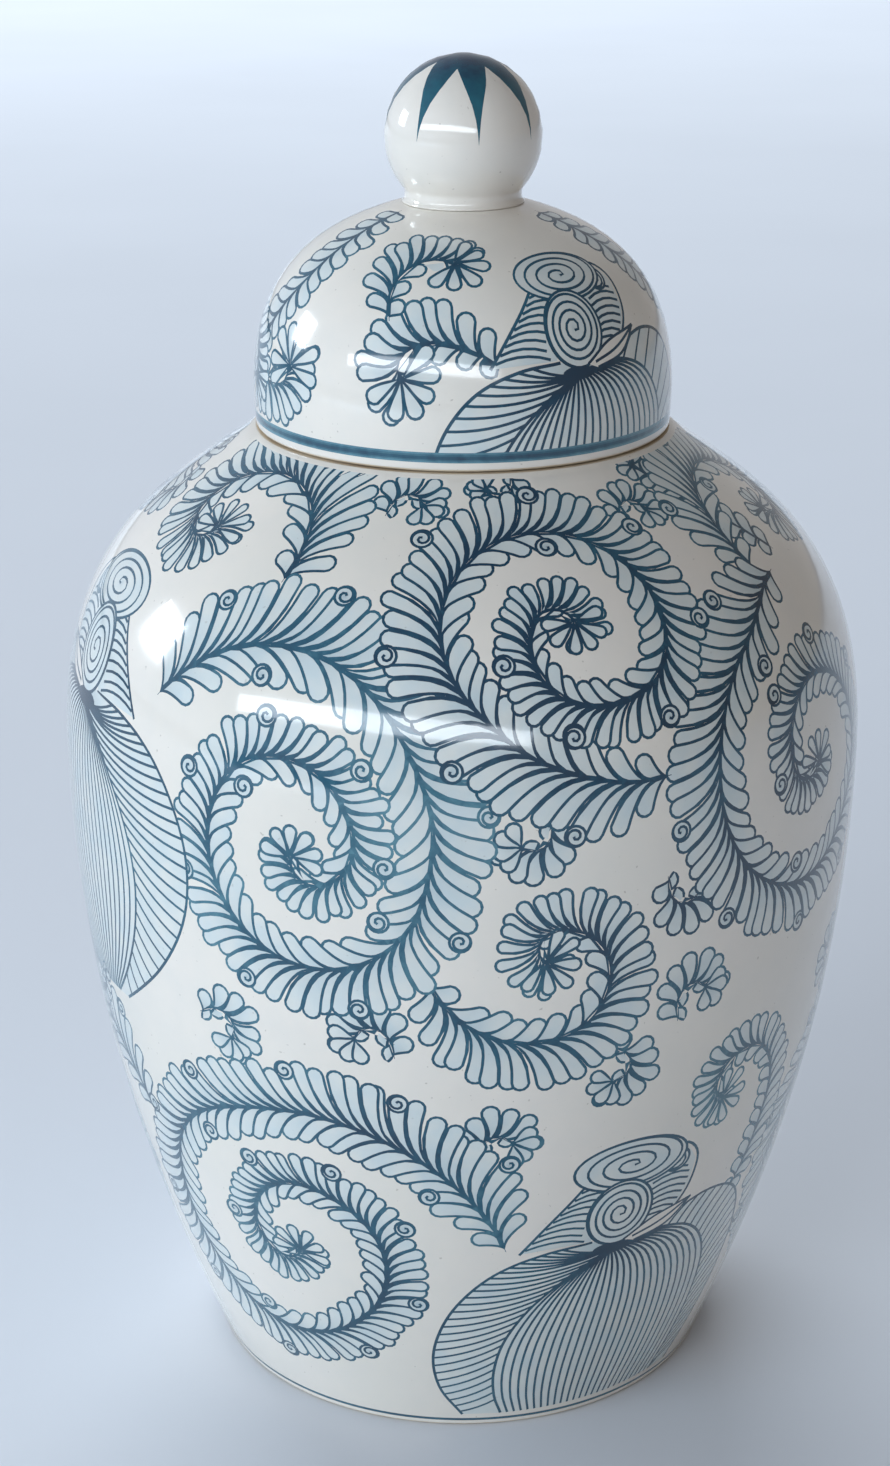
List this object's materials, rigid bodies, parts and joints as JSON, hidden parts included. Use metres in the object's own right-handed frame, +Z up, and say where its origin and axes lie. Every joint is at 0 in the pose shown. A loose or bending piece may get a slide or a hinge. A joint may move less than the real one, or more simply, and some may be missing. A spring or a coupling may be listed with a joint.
{
  "type": "ginger jar",
  "caption": "Lidded ceramic ginger jar: a hollow tapered body with a short hidden neck, and a domed lid with a ball knob that lifts off.",
  "frame": {"origin": "on the table, under the middle of the foot", "axes": "+Z up along the jar's axis; the side the picture shows faces -Y"},
  "size_m": [0.1796, 0.1796, 0.3],
  "materials": {
    "body_glaze": "clear glossy glaze over a cream body, with blue underglaze line work",
    "lid_glaze": "clear glossy glaze over a cream body, with blue underglaze line work and a blue rim band",
    "knob_glaze": "clear glossy glaze over a cream body, with dark blue-green painted petals"
  },
  "bodies": {
    "jar": {"jar_body": "body_glaze"},
    "lid": {"lid": "lid_glaze", "lid_knob": "knob_glaze"}
  },
  "joints": [
    {"name": "lid_lift", "type": "slide", "parent": "jar", "child": "lid", "axis": [0, 0, 1], "range_m": [0, 0.08]}
  ]
}
